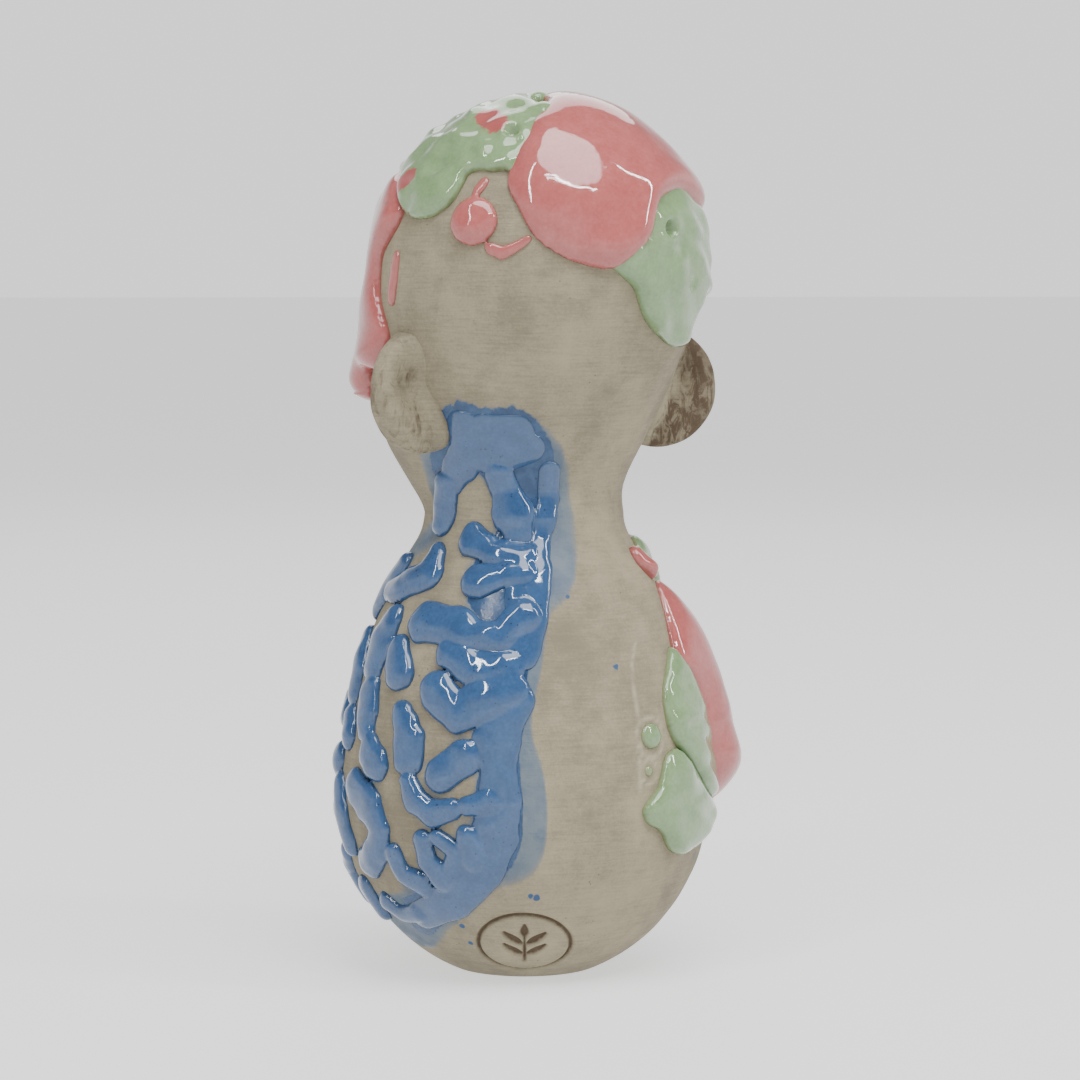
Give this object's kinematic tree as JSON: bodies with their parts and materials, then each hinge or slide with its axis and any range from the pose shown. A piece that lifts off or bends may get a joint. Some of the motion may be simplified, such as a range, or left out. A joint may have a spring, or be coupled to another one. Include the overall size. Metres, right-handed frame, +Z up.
{
  "type": "ceramic figurine",
  "caption": "Hand-built hollow ceramic figure with an egg-shaped body, a leaning round head, two ears, a calm face and thick poured glazes.",
  "frame": {"origin": "middle of the flat standing face under the figure", "axes": "+Z up; the face looks along -Y; +X is the figure's own left"},
  "size_m": [0.0817, 0.0793, 0.1798],
  "materials": {
    "clay": "matte speckled grey-beige clay, unglazed",
    "stained_clay": "matte clay with a brown oxide wash",
    "pink_glaze": "thick glossy mottled pink glaze",
    "mint_glaze": "glossy mint green glaze with pinholes",
    "blue_glaze": "glossy sky blue glaze with fine dark specks"
  },
  "bodies": {
    "root": {"body_shell": "clay", "base_slab": "clay", "head_shell": "clay", "neck_coil": "clay", "ear_left": "stained_clay", "ear_right": "stained_clay", "nose": "clay", "eyelid_left": "clay", "eyelid_right": "clay", "lips": "clay", "pink_cap": "pink_glaze", "pink_fringe": "pink_glaze", "mint_crown": "mint_glaze", "pink_temple_drip": "pink_glaze", "mint_run_back": "mint_glaze", "pink_drop_back": "pink_glaze", "pink_fleck_back": "pink_glaze", "pink_trail_back": "pink_glaze", "pink_streak_temple": "pink_glaze", "mint_bead_back": "mint_glaze", "blue_relief_neck": "blue_glaze", "blue_relief_shoulder": "blue_glaze", "blue_relief_flank": "blue_glaze", "blue_relief_front": "blue_glaze", "pink_flank_run": "pink_glaze", "mint_flank_strip": "mint_glaze", "mint_flank_upper": "mint_glaze", "mint_flank_lower": "mint_glaze", "pink_flank_drop": "pink_glaze", "mint_flank_drops": "mint_glaze"}
  },
  "joints": []
}
